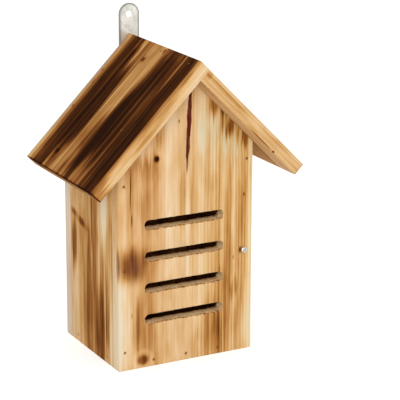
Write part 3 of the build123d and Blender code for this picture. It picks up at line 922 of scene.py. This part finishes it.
nailLook = {"tones": [(0.35, "#6b4226"), (0.65, "#9c6d44")], "patchWidth": 1.111, "roughness": 0.6}


def dullSteel(look):
    # Nail heads punched below the face: dark mill scale in brighter and darker patches
    material, add = newMaterial("dulledDrawnWire")
    patches = add("TexNoise", {
        "Vector": add("TexCoord").outputs["Object"], "Scale": 1 / (look["patchWidth"] * mm), "Detail": 3.0})
    tone = add("ValToRGB", {"Fac": patches}, stops=look["tones"])
    add("OutputMaterial", {"Surface": add("BsdfPrincipled", {
        "Base Color": tone, "Metallic": 0.9, "Roughness": look["roughness"]})})
    return material


wireSteel = dullSteel(nailLook)
for node in frame["nodes"].values():
    if "nail" in node.name:
        for part in node.material_slots:
            part.material = wireSteel

stripLook = {
    "tones": [(0.35, "#bbb9b1"), (0.85, "#e8e7e0")],
    "rim": "#8d8a80",
    "rimWidth": 2.8,          # mm, as the next two
    "bloomWidth": 3.846,
    "grimeWidth": 11.11,
    "roughness": (0.38, 0.58),
}


def galvanisedSteel(look):
    # Hot dipped strip: soft grey with faint pale blooms of zinc and a long dull sheen
    material, add = newMaterial("galvanisedStrip")
    own = add("TexCoord").outputs["Object"]
    blooms = add("TexVoronoi", {"Vector": own, "Scale": 1 / (look["bloomWidth"] * mm)}).outputs["Color"]
    grime = add("TexNoise", {"Vector": own, "Scale": 1 / (look["grimeWidth"] * mm), "Detail": 4.0})
    share = add("Math", {0: blooms, 1: 0.35, 2: grime}, operation="MULTIPLY_ADD")
    tone = add("ValToRGB", {"Fac": share}, stops=look["tones"])
    # the punched rim is darker: the zinc is thin there
    low, high = boxOf("hanger_plate")
    half = (high.x - low.x) / 2
    place = add("SeparateXYZ", {0: own}).outputs
    height = add("Math", {0: place["Z"], 1: (low.z + high.z) / 2 * mm}, operation="SUBTRACT")
    height = add("Math", {0: height}, operation="ABSOLUTE")
    beyond = add("Math", {0: height, 1: ((high.z - low.z) / 2 - half) * mm}, operation="SUBTRACT")
    beyond = add("Math", {0: beyond, 1: 0.0}, operation="MAXIMUM")
    spoke = add("CombineXYZ", {"X": place["X"], "Y": beyond})
    reach = add("VectorMath", {0: spoke}, operation="LENGTH").outputs["Value"]
    rim = add("MapRange", {"Value": reach, "From Min": (half - look["rimWidth"]) * mm, "From Max": half * mm},
              interpolation_type="SMOOTHSTEP")
    tone = add("Mix", {"Factor": rim, 6: tone, 7: hexColour(look["rim"])}, data_type="RGBA").outputs[2]
    smooth, rough = look["roughness"]
    roughness = add("MapRange", {"Value": grime, "To Min": smooth, "To Max": rough})
    relief = add("Bump", {"Height": grime, "Strength": 0.25, "Distance": 0.05 * mm})
    add("OutputMaterial", {"Surface": add("BsdfPrincipled", {
        "Base Color": tone, "Metallic": 1.0, "Roughness": roughness, "Normal": relief})})
    return material


hangerLook = {
    "holeRadius": 3.0,
    "holeBelowTop": 10.0,
    "screwHoleRadius": 1.65,
    "arris": 0.3,
    "endSegments": 56,
    "punched": {"lip": 0.25, "lipDepth": 0.25, "segments": 32},
}


def makeHanger(look):
    # a flat strip with round ends, punched for hanging and for its two screws
    low, high = boxOf("hanger_plate")
    wide, tall, deep = high.x - low.x, high.z - low.z, high.y - low.y
    bm = bmesh.new()
    middle = Vector((0, 0, (low.z + high.z) / 2))
    standing = Matrix(((0, 1, 0), (0, 0, 1), (1, 0, 0))).to_4x4()
    ring = ringIn(bm, middle, wide / 2, look["endSegments"], standing, tall)
    face = bmesh.ops.edgeloop_fill(bm, edges=ring)["faces"]
    raised = bmesh.ops.extrude_face_region(bm, geom=face)["geom"]
    bmesh.ops.translate(bm, verts=vertsOf(raised), vec=(0, deep, 0))
    bmesh.ops.recalc_face_normals(bm, faces=bm.faces)
    bm.normal_update()
    rims = [edge for edge in bm.edges if edge.calc_face_angle(0) > 1]
    bmesh.ops.bevel(bm, geom=rims, offset=look["arris"], affect="EDGES", segments=3, profile=0.5, material=-1)
    bores = [(high.z - look["holeBelowTop"], look["holeRadius"])]
    bores += [(place.z, look["screwHoleRadius"]) for place in islandCentres("hanger_screws")]
    through = [throughHole(bm, Vector((0, 0, level)), deep, radius, look["punched"])
               for level, radius in bores]
    openFace(bm, widestFace(bm, (0, -1, 0)), [outer for outer, inner in through])
    openFace(bm, widestFace(bm, (0, 1, 0)), [inner for outer, inner in through])
    finishMesh(bm, "hangerStrip", boardAxes((0, low.y, 0), (1, 0, 0), upright), galvanisedSteel(stripLook),
               "house", ["hanger_plate"])


makeHanger(hangerLook)

zincLook = {"tones": [(0.3, "#b4b1aa"), (0.7, "#eceae6")], "markWidth": 1.6667, "roughness": (0.2, 0.36)}


def zincSteel(look):
    # Bright zinc plating: pale, slightly blue, with fine handling marks
    material, add = newMaterial("brightZincPlate")
    marks = add("TexNoise", {
        "Vector": add("TexCoord").outputs["Object"], "Scale": 1 / (look["markWidth"] * mm), "Detail": 3.0})
    tone = add("ValToRGB", {"Fac": marks}, stops=look["tones"])
    smooth, rough = look["roughness"]
    roughness = add("MapRange", {"Value": marks, "To Min": smooth, "To Max": rough})
    add("OutputMaterial", {"Surface": add("BsdfPrincipled", {
        "Base Color": tone, "Metallic": 1.0, "Roughness": roughness})})
    return material


screwLook = {
    "headRadius": 2.8,
    "headHeight": 1.9,
    "flatRadius": 1.85,
    "shankRadius": 1.5,
    "coreRadius": 1.1,
    "threadPitch": 1.25,
    "threadHalf": 0.32,       # half its width at the root
    "threadStart": 0.6,       # below the head
    "plainLength": 1.6,       # what has no thread, at the head and at the tip
    "tipLength": 2.2,
    "tipRadius": 0.15,
    "headRim": 0.12,
    "recessSpan": 3.2,
    "recessWidth": 0.8,
    "recessDepth": 1.0,
    "recessTaper": 0.55,
    "recessTurn": math.radians(40),
    "headSteps": 7,
    "segments": 48,
}

screwSteel = zincSteel(zincLook)


def makeScrews(name, node, heads, away, length, look, body):
    # one mesh with a screw at every head, which looks away from the wood
    bm = bmesh.new()
    for place in heads:
        one = bmesh.new()
        panHead(one, length, look)
        turn = Vector(away).to_track_quat("Z", "X").to_matrix().to_4x4()
        bmesh.ops.transform(one, verts=one.verts, matrix=Matrix.Translation(place) @ turn)
        whole = bpy.data.meshes.new("screwPart")
        one.to_mesh(whole)
        one.free()
        bm.from_mesh(whole)
        bpy.data.meshes.remove(whole)
    finishMesh(bm, name, Matrix.Identity(4), screwSteel, body, [node])


def ringAt(bm, radius, height, look):
    verts = bmesh.ops.create_circle(bm, cap_ends=False, segments=look["segments"], radius=radius,
                                    matrix=Matrix.Translation((0, 0, height)))["verts"]
    return edgesAmong(bm.edges, verts)


def panHead(bm, length, look):
    # the whole screw, its head's underside at 0: first the outline from the flat of the head to the tip
    flat, tall, wide, core = look["flatRadius"], look["headHeight"], look["headRadius"], look["coreRadius"]
    rim = look["headRim"]
    angles = [math.radians(90) * step / look["headSteps"] for step in range(look["headSteps"] + 1)]
    rings = [(flat + (wide - flat) * math.sin(angle), tall * (0.35 + 0.65 * math.cos(angle)))
             for angle in angles]
    rings += [(wide, rim), (wide - rim, 0.0), (core + 0.3, 0.0), (core, -0.3)]
    rings += [(core, look["tipLength"] - length), (look["tipRadius"], -length)]
    loops = [ringAt(bm, radius, height, look) for radius, height in rings]
    for upper, lower in zip(loops, loops[1:]):
        bmesh.ops.bridge_loops(bm, edges=upper + lower)
    bmesh.ops.edgeloop_fill(bm, edges=loops[-1])

    # cross recess: a cross of five squares in the flat, drawn down with a taper
    half, arm = look["recessSpan"] / 2, look["recessWidth"] / 2
    grid = bmesh.ops.create_grid(bm, x_segments=3, y_segments=3, size=1,
                                 matrix=Matrix.Translation((0, 0, tall)))["verts"]
    for vert in grid:
        for axis in (0, 1):
            reach = vert.co[axis]
            vert.co[axis] = math.copysign(half if abs(reach) > 0.5 else arm, reach)
    mine = set(grid)
    squares = [face for face in bm.faces if mine.issuperset(face.verts)]
    corners = [face for face in squares
               if all(abs(face.calc_center_median()[axis]) > arm for axis in (0, 1))]
    bmesh.ops.delete(bm, geom=corners, context="FACES")
    cross = [face for face in squares if face.is_valid]
    bmesh.ops.rotate(bm, verts=[vert for vert in grid if vert.is_valid], cent=(0, 0, tall),
                     matrix=Matrix.Rotation(look["recessTurn"], 3, "Z"))
    mouth = [edge for edge in bm.edges if edge.is_boundary and edge.link_faces[0] in cross]
    bmesh.ops.triangle_fill(bm, edges=loops[0] + mouth, use_beauty=True, normal=(0, 0, 1))
    floor = vertsOf(bmesh.ops.extrude_face_region(bm, geom=cross)["geom"])
    bmesh.ops.delete(bm, geom=cross, context="FACES")
    bmesh.ops.translate(bm, verts=floor, vec=(0, 0, -look["recessDepth"]))
    bmesh.ops.scale(bm, verts=floor, vec=(look["recessTaper"], look["recessTaper"], 1))

    # the thread: a small three sided bar wound round the core
    pitch, root, half = look["threadPitch"], core - 0.12, look["threadHalf"]
    turns = max(1, int((length - look["plainLength"]) / pitch))
    steps = turns * look["segments"] // 2
    corners = [(root, half), (look["shankRadius"] - 0.01, 0.0), (root, -half)]
    bar = [bm.verts.new((radius, 0, height - look["threadStart"])) for radius, height in corners]
    sides = [bm.edges.new((bar[i], bar[(i + 1) % 3])) for i in range(3)]
    wound = bmesh.ops.spin(bm, geom=bar + sides, cent=(0, 0, 0), axis=(0, 0, 1), steps=steps,
                           dvec=(0, 0, -pitch * turns / steps), angle=2 * math.pi * turns)["geom_last"]
    bmesh.ops.edgeloop_fill(bm, edges=sides)
    bmesh.ops.edgeloop_fill(bm, edges=[part for part in wound if isinstance(part, bmesh.types.BMEdge)])


plateScrewLow, plateScrewHigh = boxOf("hanger_screws")
headHeight = screwLook["headHeight"]
underHead = plateScrewHigh.y - headHeight
makeScrews("hangerScrewPair", "hanger_screws",
           [Vector((place.x, underHead, place.z)) for place in islandCentres("hanger_screws")],
           (0, 1, 0), underHead - plateScrewLow.y, screwLook, "house")
makeScrews("lockScrew", "lock_screw", [Vector((screwPlace.x, screwLow.y + headHeight, screwPlace.z))],
           (0, -1, 0), screwHigh.y - screwLow.y - headHeight, screwLook, "lock_screw")
print("metal done")
